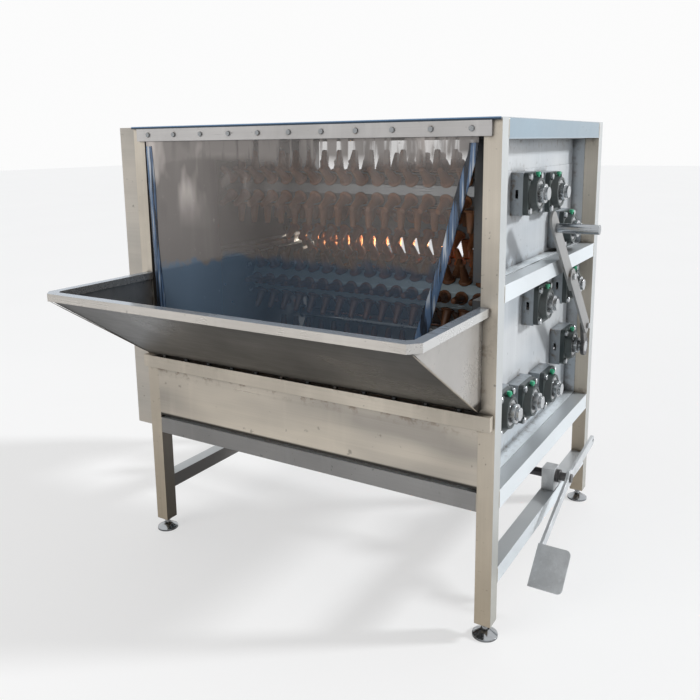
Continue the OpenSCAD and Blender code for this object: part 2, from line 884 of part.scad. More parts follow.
// A prism along X whose flats face the rows of fingers and the bare bands between them
module drum_prism(flat, len) {
    sides = 4 * finger_row_pairs;
    rotate([180 / sides, 0, 0]) translate([-len / 2, 0, 0]) rotate([0, 90, 0])
        cylinder(r = flat / cos(180 / sides), h = len, $fn = sides);
}

// Drum folded to flats, closed at both ends and drilled for the fingers' necks
module drilled_drum() {
    disc = 8;
    len = 2 * drum_half;
    difference() {
        drum_prism(drum_r, len);
        drum_prism(drum_r - drum_wall, len - 2 * disc);
        translate([-drum_half - 1, 0, 0]) rod_x(shaft_r + seat, len + 2);
        at_fingers() translate([0, drum_r + 2, 0]) rotate([90, 0, 0])
            cylinder(r = finger_neck_r + run, h = drum_wall + 6);
    }
}

module roller_drum(r) {
    color(bright) at_roller(r) drilled_drum();
}

module roller_shaft(r) {
    left = pulley_x - pulley_len - 2;
    color(bright) translate([0, r[1], r[2]]) {
        translate([left, 0, 0]) rod_x(shaft_r, shaft_end - left);
        translate([pulley_x, 0, 0]) pulley();
    }
}

// Moulded finger along +Z: a head inside the drum, a neck, a shoulder on its flat, a tapered body
module finger() {
    head_t = 6;
    shoulder_t = 5;
    tip = 4;
    head_top = drum_r - drum_wall - seat;
    foot = drum_r + seat;
    rotate_extrude($fn = 24) polygon([
        [0, head_top - head_t], [finger_head_r, head_top - head_t], [finger_head_r, head_top],
        [finger_neck_r, head_top], [finger_neck_r, foot], [finger_shoulder_r, foot],
        [finger_shoulder_r, foot + shoulder_t], [finger_root_r, foot + shoulder_t],
        [finger_tip_r, finger_reach - tip], [finger_tip_r - tip, finger_reach], [0, finger_reach]
    ]);
}

module roller_fingers(r) {
    color(rubber) at_roller(r) at_fingers() rotate([-90, 0, 0]) finger();
}

frame_posts();
frame_rails();
front_beam();
front_skirt();
top_cover();
rear_cover();
right_side_panels();
left_side_panels();
bearing_plates();
bearing_standoffs();
bearing_housings();
bearing_inserts();
bearing_bolts();
grease_caps();
hopper_shell();
hopper_rim();
clamp_strip();
front_bolts();
curtain();
drive_guard();
drive_gearbox();
drive_motor();
motor_bracket();
motor_pulley();
drive_belts();
flap_shaft();
outlet_flap();
lever_crank();
lever_bars();
lever_grip();
lever_bolts();
pedal_brackets();
pedal_shaft();
pedal_arm();
pedal_plate();
levelling_feet();
for (r = rollers) {
    roller_drum(r);
    roller_shaft(r);
    roller_fingers(r);
}
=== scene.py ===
"""Looks of a horizontal roller plucker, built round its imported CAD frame.

The frame gives every solid in metres: +X to the machine's right, +Y to its back, +Z up, origin on the floor.
This script gives the solids their finishes and adds what CAD leaves out: the hanging vinyl curtain, ribbed
rubber fingers, weld beads, screws, the fan's grille and the threads of the feet.
"""

import json
import math
import random

import bpy
from mathutils import Matrix, Vector


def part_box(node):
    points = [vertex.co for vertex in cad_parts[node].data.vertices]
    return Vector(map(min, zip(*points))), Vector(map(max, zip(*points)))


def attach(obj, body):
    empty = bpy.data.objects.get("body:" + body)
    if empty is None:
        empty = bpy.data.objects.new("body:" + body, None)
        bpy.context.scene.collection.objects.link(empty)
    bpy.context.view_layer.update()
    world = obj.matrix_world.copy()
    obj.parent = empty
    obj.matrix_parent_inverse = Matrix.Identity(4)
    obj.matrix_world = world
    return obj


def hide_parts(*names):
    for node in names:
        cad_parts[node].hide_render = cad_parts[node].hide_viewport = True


bl_info = {
    "name": "Roller Plucker Looks",
    "version": (1, 0, 0),
    "blender": (4, 5, 0),
    "location": "View3D > Sidebar > Plucker",
    "description": "Finishes and small parts of a horizontal roller plucker",
    "category": "Object",
}

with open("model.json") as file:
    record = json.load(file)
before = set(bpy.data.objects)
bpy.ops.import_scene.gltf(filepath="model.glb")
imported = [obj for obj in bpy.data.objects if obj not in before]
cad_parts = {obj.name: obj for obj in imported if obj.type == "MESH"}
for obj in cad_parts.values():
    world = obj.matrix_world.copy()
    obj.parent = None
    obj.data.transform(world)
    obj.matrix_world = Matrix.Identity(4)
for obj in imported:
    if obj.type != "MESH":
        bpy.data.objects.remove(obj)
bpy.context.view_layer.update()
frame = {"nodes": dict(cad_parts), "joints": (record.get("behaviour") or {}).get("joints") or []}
NODES = frame["nodes"]
ROLLERS = {
    # name: (first row's turn in degrees, handed, rubber of its fingers)
    "top_front": (26, 0, "rubber"),
    "top_rear": (10, 1, "rubber"),
    # The back rollers' fingers take a brighter, more orange copy of the rubber, as painted light
    "back_upper": (40, 0, "fresh"),
    "back_lower": (5, 1, "fresh"),
    # The centre and floor rollers' fingers take a darker copy of the rubber, darkened as painted shade
    "centre": (58, 0, "wet"),
    "floor_rear": (22, 0, "wet"),
    "floor_middle": (48, 1, "wet"),
    "floor_front": (15, 0, "wet"),
}
AXES = {j["child"]: Vector(j["pos_m"]) for j in frame["joints"]}
BEARING_AXES = [AXES[name + "_roller"] for name in ROLLERS] + [AXES["discharge_door"]]
SIDES = (-1, 1)

# The frame's sections in metres: a post's width, and the bottom and top of the rails on each side
POST = 0.050
SIDE_RAILS = ((0.162, 0.212), (0.397, 0.455), (1.003, 1.053), (1.445, 1.500))
FRONT_RAILS = ((0.397, 0.455), (1.455, 1.500))
BACK_RAILS = ((0.397, 0.455), (0.742, 0.792), (1.445, 1.500))

# The curtain in metres: half its width, its upper and lower edge and the plane it hangs in
CURTAIN_HALF, CURTAIN_TOP, CURTAIN_BOTTOM, CURTAIN_Y = 0.605, 1.4524, 0.800, -0.540
VINYL_IOR = 1.54

# The surround's colour, and what all colour properties have in common
PALE = (0.97, 0.97, 0.97, 1)
COLOUR = {"subtype": "COLOR", "size": 3, "min": 0, "max": 1}
GROUPS = {}
MATERIALS = {}


class PluckerFinish(bpy.types.PropertyGroup):
    """Colours of the machine's finishes"""

    steel: bpy.props.FloatVectorProperty(
        name="Frame steel", description="Brushed stainless of posts, beam, skirt and welds",
        default=(0.575, 0.52, 0.44), **COLOUR)
    panel: bpy.props.FloatVectorProperty(
        name="Panel steel", description="Pale stainless of side panels, top, drums and turned parts",
        default=(0.56, 0.58, 0.595), **COLOUR)
    hopper: bpy.props.FloatVectorProperty(
        name="Hopper steel", description="Stainless sheet of the hopper",
        default=(0.44, 0.425, 0.405), **COLOUR)
    rubber: bpy.props.FloatVectorProperty(
        name="Finger rubber", description="Moulded rubber of the fingers",
        default=(0.40, 0.17, 0.075), **COLOUR)
    casting: bpy.props.FloatVectorProperty(
        name="Bearing casting", description="Painted iron of the bearing housings",
        default=(0.022, 0.034, 0.035), **COLOUR)
    cap: bpy.props.FloatVectorProperty(
        name="Grease cap", description="Moulded caps on the grease nipples",
        default=(0.02, 0.40, 0.20), **COLOUR)
    haze: bpy.props.FloatVectorProperty(
        name="Curtain haze", description="Dried splashes on the curtain's upper part",
        default=(0.345, 0.315, 0.298), **COLOUR)
    # Below the haze the curtain's bluish tone is a painted reflection
    vinyl: bpy.props.FloatVectorProperty(
        name="Curtain vinyl", description="Tint of the clear curtain where it is clean",
        default=(0.135, 0.198, 0.280), **COLOUR)


class PluckerSizes(bpy.types.PropertyGroup):
    """Sizes of the parts that the solids leave out"""

    bead: bpy.props.FloatProperty(
        name="Weld bead", description="Radius of the weld beads on frame and hopper",
        default=0.0022, min=0.001, max=0.004, unit="LENGTH")
    rib_depth: bpy.props.FloatProperty(
        name="Finger rib", description="Height of the ribs round a finger",
        default=0.0016, min=0, max=0.003, unit="LENGTH")
    curtain_wave: bpy.props.FloatProperty(
        name="Curtain wave", description="How far the curtain's lower part waves out of its plane",
        default=0.008, min=0, max=0.02, unit="LENGTH")


class PluckerStage(bpy.types.PropertyGroup):
    """Camera and floor"""

    camera_at: bpy.props.FloatVectorProperty(
        name="Camera", description="Where the camera stands",
        subtype="TRANSLATION", size=3, default=(1.36319, -2.44419, 1.44368))
    camera_turn: bpy.props.FloatVectorProperty(
        name="Camera turn", description="Yaw, pitch and roll in degrees",
        size=3, default=(-31.623, 10.739, -0.750))
    lens: bpy.props.FloatProperty(
        name="Lens", description="Focal length on a 36 mm sensor, in millimetres",
        default=39.094, min=20, max=100)
    shift: bpy.props.FloatVectorProperty(
        name="Shift", description="Lens shift of the photograph's framing",
        size=2, default=(0.0062, -0.0919))
    floor: bpy.props.FloatVectorProperty(
        name="Floor", description="Colour of the floor", default=(0.90, 0.90, 0.90), **COLOUR)


# Nodes

def add(tree, kind, **values):
    """A node of that kind with its attributes set"""
    made = tree.nodes.new("ShaderNode" + kind)
    for key, value in values.items():
        setattr(made, key, value)
    return made


def join(tree, *pairs):
    """Link each source socket to its target"""
    for source, target in pairs:
        tree.links.new(source, target)


def feed(tree, value, socket):
    """Give a socket a number, a colour or another socket"""
    if isinstance(value, (int, float)):
        socket.default_value = value
    elif isinstance(value, tuple):
        socket.default_value = (*value, 1.0)
    else:
        join(tree, (value, socket))


def object_coord(tree):
    """Object coordinates, which are the machine's own metres at rest"""
    return add(tree, "TexCoord").outputs["Object"]


def axes(tree, vector):
    """The X, Y and Z of a vector"""
    made = add(tree, "SeparateXYZ")
    join(tree, (vector, made.inputs[0]))
    return made.outputs


def stretched(tree, vector, scale, turn=(0, 0, 0)):
    """A vector scaled along each axis and turned. The scale is a tuple or a socket"""
    made = add(tree, "Mapping")
    made.inputs["Rotation"].default_value = turn
    if isinstance(scale, tuple):
        made.inputs["Scale"].default_value = scale
    else:
        join(tree, (scale, made.inputs["Scale"]))
    join(tree, (vector, made.inputs["Vector"]))
    return made.outputs["Vector"]


def enlarged(tree, vector, factor):
    """A vector times one factor from a socket"""
    made = add(tree, "VectorMath", operation="SCALE")
    join(tree, (vector, made.inputs[0]), (factor, made.inputs["Scale"]))
    return made.outputs["Vector"]


def noise(tree, vector, scale, detail, rough=0.5):
    """Noise between about 0.3 and 0.7"""
    made = add(tree, "TexNoise")
    made.inputs["Scale"].default_value = scale
    made.inputs["Detail"].default_value = detail
    made.inputs["Roughness"].default_value = rough
    join(tree, (vector, made.inputs["Vector"]))
    return made.outputs["Fac"]


def remap(tree, value, low, high, to_low=0.0, to_high=1.0):
    """A value's range from low to high, spread from to_low to to_high and clamped"""
    made = add(tree, "MapRange")
    for label, number in (("From Min", low), ("From Max", high), ("To Min", to_low), ("To Max", to_high)):
        made.inputs[label].default_value = number
    join(tree, (value, made.inputs["Value"]))
    return made.outputs["Result"]


def calculate(tree, operation, first, second=0.0):
    """One operation on sockets or numbers"""
    made = add(tree, "Math", operation=operation)
    feed(tree, first, made.inputs[0])
    feed(tree, second, made.inputs[1])
    return made.outputs[0]


def plus(tree, first, second):
    """The sum of two sockets or numbers"""
    return calculate(tree, "ADD", first, second)


def times(tree, first, second):
    """The product of two sockets or numbers"""
    return calculate(tree, "MULTIPLY", first, second)


def mix(tree, factor, first, second, kind="RGBA", blend="MIX"):
    """Two colours or, of the kind FLOAT, two values, blended as far as the factor says"""
    made = add(tree, "Mix", data_type=kind, blend_type=blend)
    sockets = {s.name: s for s in made.inputs if s.enabled}
    for label, value in (("Factor", factor), ("A", first), ("B", second)):
        feed(tree, value, sockets[label])
    return next(s for s in made.outputs if s.enabled)


def tinted(tree, factor, colour, tone):
    """The colour multiplied by a tone, as far as the factor says"""
    return mix(tree, factor, colour, tone, blend="MULTIPLY")


def shade(colour, factor):
    """A colour made darker or lighter"""
    return tuple(min(1.0, c * factor) for c in colour)


# Shader node groups

def make_group(name, outputs, **inputs):
    """An empty group; returns its tree, what it is given and what it puts out. Each input is label=default"""
    tree = bpy.data.node_groups.new(name, "ShaderNodeTree")
    for label, default in inputs.items():
        kind = "NodeSocketVector" if isinstance(default, tuple) else "NodeSocketFloat"
        tree.interface.new_socket(label, in_out="INPUT", socket_type=kind).default_value = default
    for label in outputs:
        tree.interface.new_socket(label, in_out="OUTPUT", socket_type="NodeSocketFloat")
    return tree, tree.nodes.new("NodeGroupInput").outputs, tree.nodes.new("NodeGroupOutput").inputs


def grain_group():
    """Brushing: fine scratches along one axis. Stretch is the noise's scale along X, Y and Z"""
    tree, given, put = make_group("Brushed Grain", ("Shade", "Height"), Stretch=(4.0, 300.0, 300.0))
    at = stretched(tree, object_coord(tree), given["Stretch"])
    fine = noise(tree, at, 1.0, 5.0, 0.6)
    broad = noise(tree, at, 0.22, 2.0)
    both = plus(tree, times(tree, fine, 0.6), times(tree, broad, 0.4))
    join(tree, (both, put["Shade"]), (fine, put["Height"]))
    return tree


def marks_group():
    """Water marks and handling: soft clouds, runs down the face and small specks"""
    tree, given, put = make_group("Water Marks", ("Cloud", "Runs", "Specks"), Scale=3.0)
    at = enlarged(tree, object_coord(tree), given["Scale"])
    drawn = stretched(tree, at, (6.0, 6.0, 0.5))
    join(tree, (remap(tree, noise(tree, at, 1.0, 4.0, 0.55), 0.35, 0.68), put["Cloud"]),
         (remap(tree, noise(tree, drawn, 1.0, 3.0, 0.6), 0.55, 0.75), put["Runs"]),
         (remap(tree, noise(tree, at, 22.0, 2.0), 0.70, 0.76), put["Specks"]))
    return tree


def facing_group():
    """Which way a face looks, one mask each. Front is only for faces at the front of the machine"""
    tree, _, put = make_group("Facing", ("Down", "Up", "Outward", "Inward", "Front"))
    coord = add(tree, "TexCoord")
    normal, at = axes(tree, coord.outputs["Normal"]), axes(tree, coord.outputs["Object"])
    outward = times(tree, normal["X"], calculate(tree, "SIGN", at["X"]))
    forward, near = remap(tree, normal["Y"], -0.5, -0.9), remap(tree, at["Y"], -0.30, -0.32)
    join(tree, (remap(tree, normal["Z"], -0.15, -0.55), put["Down"]),
         (remap(tree, normal["Z"], 0.3, 0.7), put["Up"]),
         (remap(tree, outward, 0.5, 0.9), put["Outward"]),
         (remap(tree, outward, -0.5, -0.9), put["Inward"]),
         (times(tree, forward, near), put["Front"]))
    return tree


def reflection_group():
    """Soft patches that a flat sheet shows, long across and low"""
    tree, given, put = make_group("Sheet Reflections", ("Patch",), Stretch=(1.5, 1.5, 5.5))
    soft = noise(tree, stretched(tree, object_coord(tree), given["Stretch"]), 1.0, 2.0, 0.45)
    join(tree, (remap(tree, soft, 0.40, 0.64), put["Patch"]))
    return tree


def crevice_group():
    """Where two pieces meet: painted shade that darkens them by ambient occlusion, and brown specks of grime
    beside it
    """
    tree, given, put = make_group("Crevice", ("Seam", "Grime"), Reach=0.045)
    hidden = add(tree, "AmbientOcclusion", samples=8)
    join(tree, (given["Reach"], hidden.inputs["Distance"]))
    spots = remap(tree, noise(tree, object_coord(tree), 42.0, 5.0, 0.65), 0.52, 0.64)
    near = remap(tree, hidden.outputs["AO"], 0.96, 0.62)
    join(tree, (remap(tree, hidden.outputs["AO"], 0.72, 0.34), put["Seam"]),
         (times(tree, near, spots), put["Grime"]))
    return tree


def zone_group():
    """Where a point lies: its distance from the machine's middle plane, and its height"""
    tree, _, put = make_group("Zone", ("Across", "Height"))
    at = axes(tree, object_coord(tree))
    join(tree, (calculate(tree, "ABSOLUTE", at["X"]), put["Across"]), (at["Z"], put["Height"]))
    return tree


def mottle_group():
    """Fine mottle of cast, moulded and painted surfaces"""
    tree, given, put = make_group("Fine Mottle", ("Shade", "Height"), Scale=60.0)
    at = enlarged(tree, object_coord(tree), given["Scale"])
    join(tree, (remap(tree, noise(tree, at, 0.25, 4.0), 0.3, 0.7), put["Shade"]),
         (noise(tree, at, 4.0, 3.0), put["Height"]))
    return tree


def use(tree, name, **values):
    """A shared group placed in a material with its own values"""
    made = add(tree, "Group", node_tree=GROUPS[name])
    for label, value in values.items():
        made.inputs[label].default_value = value
    return made.outputs


# Materials

def start_material(name):
    """A new material, its tree and its shader"""
    made = bpy.data.materials.new(name)
    made.use_nodes = True
    return made, made.node_tree, made.node_tree.nodes["Principled BSDF"]


def round_edges(tree, shader, height, strength, distance, radius):
    """Bump over edges that are softened by a small radius"""
    bump = add(tree, "Bump")
    bump.inputs["Strength"].default_value = strength
    bump.inputs["Distance"].default_value = distance
    join(tree, (height, bump.inputs["Height"]), (bump.outputs["Normal"], shader.inputs["Normal"]))
    if radius:
        edge = add(tree, "Bevel", samples=4)
        edge.inputs["Radius"].default_value = radius
        join(tree, (edge.outputs["Normal"], bump.inputs["Normal"]))


def brushed_steel(name, tint, stretch, rough=(0.26, 0.44), marks=0.35, scale=3.0, radius=0.0015, metal=1.0,
                  faces=(), zone=None, patch=None, stain=0.5):
    """Stainless: brushed, water-marked, grimy where pieces meet and darkened there by painted shade.

    Each of faces is (facing, colour, share), and zone is (measure, where it is full, where it ends, tone);
    the finishes below use both mostly to paint shade and sky reflections onto the steel.
    Patch is the tone of the sheet's painted soft reflections, and stain the share of grime.
    """
    grime = (0.16, 0.11, 0.07)
    made, tree, shader = start_material(name)
    grain = use(tree, "grain", Stretch=stretch)
    water = use(tree, "marks", Scale=scale)
    looks, seams = use(tree, "facing"), use(tree, "crevice")
    tone = mix(tree, grain["Shade"], shade(tint, 0.80), shade(tint, 1.16))
    tone = mix(tree, times(tree, water["Cloud"], marks), tone, shade(tint, 0.66))
    if patch:
        tone = tinted(tree, use(tree, "patches")["Patch"], tone, patch)
    tone = mix(tree, times(tree, water["Runs"], 0.5 * marks), tone, shade(tint, 1.25))
    tone = mix(tree, times(tree, water["Specks"], 0.7), tone, shade(tint, 0.35))
    for label, colour, share in faces:
        tone = mix(tree, times(tree, looks[label], share), tone, colour)
    if zone:
        measure, full, ends, zone_tone = zone
        tone = tinted(tree, remap(tree, use(tree, "zone")[measure], ends, full), tone, zone_tone)
    tone = mix(tree, times(tree, seams["Grime"], stain), tone, grime)
    # Painted shade: darker where ambient occlusion finds other pieces close by
    tone = mix(tree, times(tree, seams["Seam"], 0.85), tone, shade(tint, 0.05))
    gloss = plus(tree, remap(tree, grain["Shade"], 0.3, 0.7, 0.0, 0.08),
                 remap(tree, water["Cloud"], 0, 1, *rough))
    join(tree, (tone, shader.inputs["Base Color"]), (gloss, shader.inputs["Roughness"]))
    shader.inputs["Metallic"].default_value = metal
    round_edges(tree, shader, grain["Height"], 0.10, 0.0006, radius)
    return made


def moulded(name, tint, rough, scale, bump=0.2, dust=0.25, dusty=(0.5, 0.48, 0.45), metal=0.0, radius=0.0015):
    """Rubber, plastic, paint and castings: mottled, with a little dust"""
    made, tree, shader = start_material(name)
    fine = use(tree, "mottle", Scale=scale)
    water = use(tree, "marks", Scale=9.0)
    base = mix(tree, fine["Shade"], shade(tint, 0.72), shade(tint, 1.22))
    dusted = mix(tree, times(tree, water["Cloud"], dust), base, dusty)
    gloss = remap(tree, fine["Shade"], 0, 1, rough - 0.07, rough + 0.09)
    join(tree, (dusted, shader.inputs["Base Color"]), (gloss, shader.inputs["Roughness"]))
    shader.inputs["Metallic"].default_value = metal
    round_edges(tree, shader, fine["Height"], bump, 0.0008, radius)
    return made


def haze_line(tree, at, x):
    """Height of the wavy line that the splashes reach down to, which falls towards the left"""
    line = add(tree, "FloatCurve")
    curve = line.mapping.curves[0]
    points = [(0.0, 0.20), (0.18, 0.42), (0.33, 0.57), (0.52, 0.57), (0.84, 0.62), (1.0, 0.64)]
    curve.points[0].location, curve.points[1].location = points[0], points[-1]
    for point in points[1:-1]:
        curve.points.new(*point)
    line.mapping.update()
    join(tree, (remap(tree, x, -CURTAIN_HALF, CURTAIN_HALF), line.inputs["Value"]))
    height = remap(tree, line.outputs[0], 0, 1, 0.965, 1.165)
    wavy = remap(tree, noise(tree, at, 9.0, 4.0, 0.6), 0.3, 0.7, -0.028, 0.028)
    return plus(tree, height, wavy)


def clear_vinyl(name, tint, haze):
    """Clear sheet: hazed by dried splashes down to a wavy line, wiped clean below it, where its bluish tone
    is a painted reflection
    """
    made, tree, shader = start_material(name)
    water = use(tree, "marks", Scale=2.4)
    at = object_coord(tree)
    x, _, z = axes(tree, at)
    hazed = remap(tree, calculate(tree, "SUBTRACT", z, haze_line(tree, at, x)), -0.006, 0.012)
    # Painted reflection: towards the left the sheet grows denser and darker
    painted_reflection_left = remap(tree, x, -0.12, -0.44)

    # The doubled band under the strip, drawn into small upright gathers
    gather = noise(tree, stretched(tree, at, (46.0, 1.0, 4.0)), 1.0, 2.0)
    band = remap(tree, plus(tree, z, remap(tree, water["Cloud"], 0, 1, -0.010, 0.014)), 1.380, 1.416)

    # Slanting creases in the upper part, with painted highlights on some and painted shade on others
    crease = noise(tree, stretched(tree, at, (7.0, 1.0, 2.6), (0, math.radians(24), 0)), 1.0, 3.0)
    high = remap(tree, z, 1.16, 1.34)
    bright = times(tree, remap(tree, crease, 0.54, 0.67), high)
    crease_shade = times(tree, remap(tree, crease, 0.44, 0.36), high)

    veil = plus(tree, remap(tree, painted_reflection_left, 0, 1, 0.31, 0.86), times(tree, water["Runs"], 0.10))
    veil = plus(tree, veil, times(tree, band, remap(tree, gather, 0.48, 0.62, 0.66, 0.20)))
    clean = remap(tree, painted_reflection_left, 0, 1, 0.36, 0.90)
    cover = plus(tree, mix(tree, hazed, clean, veil, "FLOAT"), times(tree, water["Specks"], 0.2))
    cover = plus(tree, cover, times(tree, bright, 0.22))

    clouded = mix(tree, water["Cloud"], shade(haze, 0.8), shade(haze, 1.2))
    clouded = mix(tree, times(tree, band, 0.8), clouded, shade(haze, 0.55))
    clouded = mix(tree, painted_reflection_left, clouded, shade(haze, 0.67))
    clouded = mix(tree, times(tree, bright, 0.7), clouded, shade(haze, 2.1))
    clouded = mix(tree, times(tree, crease_shade, 0.6), clouded, shade(haze, 0.35))
    tone = mix(tree, hazed, tint, clouded)
    join(tree, (tone, shader.inputs["Base Color"]), (cover, shader.inputs["Alpha"]))
    shader.inputs["Roughness"].default_value = 0.06
    shader.inputs["IOR"].default_value = VINYL_IOR
    return made


def vinyl_hem(name, dark, blue, painted_glint):
    """The rolled edge of the clear sheet, whose turns lie over each other in dark and blue folds, with
    painted glints on some
    """
    made, tree, shader = start_material(name)
    fold = noise(tree, stretched(tree, object_coord(tree), (70.0, 20.0, 4.0)), 1.0, 3.0, 0.55)
    tone = mix(tree, remap(tree, fold, 0.42, 0.50), dark, blue)
    tone = mix(tree, remap(tree, fold, 0.55, 0.63), tone, painted_glint)
    cover = remap(tree, fold, 0.3, 0.7, 0.92, 0.66)
    join(tree, (tone, shader.inputs["Base Color"]), (cover, shader.inputs["Alpha"]))
    shader.inputs["Roughness"].default_value = 0.16
    shader.inputs["IOR"].default_value = VINYL_IOR
    return made


def make_materials(finish):
    """Build the shared groups, and then every finish of the machine"""
    GROUPS.update(grain=grain_group(), marks=marks_group(), mottle=mottle_group(), facing=facing_group(),
                  crevice=crevice_group(), zone=zone_group(), patches=reflection_group())
    steel, panel, hopper, rubber = map(tuple, (finish.steel, finish.panel, finish.hopper, finish.rubber))
    # Painted light: the two tones below are sky reflections painted on faces that look outward or up, and the
    # next two are shade painted on inner faces and inside the machine
    painted_sheen, painted_pale_sheen = (0.47, 0.515, 0.545), (0.74, 0.79, 0.82)
    painted_inner_shade, deep_painted_shade = (0.22, 0.21, 0.20), (0.09, 0.085, 0.08)
    along_x, along_z, turned = (3, 260, 260), (260, 260, 3), (260, 260, 260)
    MATERIALS.update(
        # Posts: a painted sky reflection on outward faces and painted shade on inner faces; they also turn
        # darker and warmer towards the floor
        post=brushed_steel(
            "post_steel", shade(steel, 1.12), along_z, marks=0.6, metal=0.5,
            faces=(("Outward", painted_sheen, 0.75), ("Inward", deep_painted_shade, 0.85)),
            zone=("Height", 0.0, 0.75, (0.74, 0.69, 0.61))),
        # Rails: painted sky reflections on outward and upper faces, painted shade on inner faces, and the top
        # rail painted darker and bluer as shade
        rail=brushed_steel(
            "rail_steel", (0.29, 0.285, 0.28), along_x, marks=0.5, metal=0.5,
            faces=(("Outward", painted_pale_sheen, 0.85), ("Up", painted_pale_sheen, 0.6), ("Inward", deep_painted_shade, 0.85)),
            zone=("Height", 1.45, 1.43, (0.40, 0.48, 0.54))),
        beam=brushed_steel("beam_steel", steel, along_x, marks=0.6, metal=0.5, stain=0.9),
        strip=brushed_steel("strip_steel", (0.56, 0.545, 0.535), along_x, marks=0.6, metal=0.5, stain=0.8),
        # Skirt: painted soft reflections, and a nearly black band along its bottom edge as a painted shadow
        sheet=brushed_steel(
            "skirt_steel", shade(steel, 1.18), along_x, (0.24, 0.46), marks=0.4, scale=1.5, metal=0.55,
            patch=(0.57, 0.58, 0.61), stain=1.0, zone=("Height", 0.472, 0.477, (0.06, 0.06, 0.06))),
        guard=brushed_steel(
            "guard_steel", (0.565, 0.52, 0.46), along_x, (0.3, 0.48), marks=0.3, scale=2.5, metal=0.55,
            patch=(0.86, 0.88, 0.90), stain=0.6),
        lever=brushed_steel(
            "lever_steel", (0.32, 0.32, 0.315), (260, 30, 30), marks=0.5, metal=0.6, stain=0.8),
        # Panels: front-facing faces near the front painted nearly black as shade, upward ledges painted pale
        # as a highlight, and everything inside the side planes painted darker as shade
        panel=brushed_steel(
            "panel_steel", panel, along_z, (0.36, 0.52), marks=0.4, scale=2.2, metal=0.5,
            faces=(("Front", (0.05, 0.05, 0.05), 0.9), ("Up", (0.86, 0.90, 0.92), 0.85)),
            patch=(0.80, 0.84, 0.88), zone=("Across", 0.5735, 0.5745, painted_inner_shade)),
        standoff=brushed_steel(
            "standoff_steel", (0.33, 0.36, 0.385), along_z, (0.3, 0.45), marks=0.4, metal=0.7, stain=0.9),
        # Cover: its front faces painted blue as a sky reflection, and the parts below its top face painted
        # darker as shade
        top=brushed_steel(
            "cover_steel", panel, along_x, (0.3, 0.45), marks=0.25, metal=0.6,
            faces=(("Front", (0.14, 0.27, 0.46), 0.9),), zone=("Height", 1.4990, 1.4995, painted_inner_shade)),
        # Hopper: downward faces painted nearly black as shade, upward faces painted a dark bluish reflection,
        # and a black band near its bottom as the painted shadow of the gap over the beam
        hopper=brushed_steel(
            "hopper_steel", hopper, along_x, (0.22, 0.4), marks=0.5, scale=2.2, metal=0.6,
            faces=(("Down", shade(hopper, 0.05), 0.97), ("Up", (0.17, 0.20, 0.25), 0.8)),
            zone=("Height", 0.728, 0.738, (0.05, 0.05, 0.05))),
        # Rim: upward faces painted with a bluish sky reflection, and outward faces painted lighter and greyer
        # as reflection
        rim=brushed_steel(
            "rim_steel", (0.57, 0.54, 0.50), along_x, (0.16, 0.3), marks=0.4, metal=0.6,
            faces=(("Up", (0.42, 0.51, 0.62), 0.8), ("Outward", (0.60, 0.61, 0.61), 0.7))),
        drum=brushed_steel(
            "drum_steel", shade(panel, 0.72), along_x, (0.2, 0.34), marks=0.3, metal=0.7, stain=0.2),
        # A drum painted bright and bluish as a sky reflection
        wet_drum=brushed_steel(
            "wet_drum_steel", (0.68, 0.83, 0.95), along_x, (0.12, 0.24), marks=0.3, metal=0.6, stain=0.2),
        bright=brushed_steel("turned_steel", panel, turned, (0.16, 0.28), marks=0.2, metal=0.9),
        # Bolts below a metre's height, in the gap under the hopper, are painted nearly black as shade
        bolt=brushed_steel(
            "bolt_steel", shade(panel, 0.6), turned, (0.2, 0.3), marks=0.3, metal=0.9,
            zone=("Height", 0.99, 1.0, (0.10, 0.10, 0.10))),
        plate=brushed_steel(
            "pedal_steel", shade(panel, 1.12), (260, 3, 260), (0.3, 0.45), marks=0.7, scale=16.0, metal=0.5),
        weld=brushed_steel(
            "weld_steel", shade(steel, 0.82), (150, 150, 150), (0.3, 0.5), marks=0.5, scale=20.0, radius=0),
        chrome=brushed_steel("polished_steel", (0.42, 0.44, 0.46), (40, 40, 40), (0.07, 0.16), marks=0.2),
        dark=moulded("oxide_steel", (0.06, 0.06, 0.065), 0.42, 60, metal=0.6, dust=0.2),
        casting=moulded(
            "bearing_casting", tuple(finish.casting), 0.36, 90, bump=0.35, dust=0.06, radius=0.003),
        cap=moulded("grease_cap", tuple(finish.cap), 0.30, 60, bump=0.05, dust=0.1),
        rubber=moulded(
            "finger_rubber", rubber, 0.50, 70, bump=0.12, dust=0.22, dusty=(0.46, 0.38, 0.32)),
        # A brighter, more orange copy of the finger rubber, painted as if lit
        fresh=moulded(
            "painted_lit_rubber", (0.60, 0.225, 0.09), 0.42, 70, bump=0.12, dust=0.12, dusty=(0.70, 0.52, 0.40)),
        # A darker, glossier copy of the finger rubber; the darkening is painted shade
        wet=moulded(
            "shaded_rubber", shade(rubber, 0.42), 0.22, 70, bump=0.12, dust=0.08, dusty=(0.30, 0.26, 0.24)),
        belt=moulded("belt_rubber", (0.022, 0.022, 0.024), 0.62, 80),
        paint=moulded("motor_paint", (0.055, 0.095, 0.15), 0.36, 90, bump=0.1),
        vinyl=clear_vinyl("curtain_vinyl", tuple(finish.vinyl), tuple(finish.haze)),
        hem=vinyl_hem("curtain_hem", (0.012, 0.018, 0.03), (0.11, 0.19, 0.33), (0.70, 0.76, 0.82)),
    )


# Mesh helpers

def new_piece(name, verts, faces, finish, body, smooth=False):
    """A mesh object in one finish that rides on a body"""
    mesh = bpy.data.meshes.new(name)
    mesh.from_pydata([tuple(v) for v in verts], [], faces)
    mesh.update()
    made = bpy.data.objects.new(name, mesh)
    bpy.context.scene.collection.objects.link(made)
    mesh.materials.append(MATERIALS[finish])
    if smooth:
        mesh.polygons.foreach_set("use_smooth", [True] * len(mesh.polygons))
    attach(made, body)
    return made


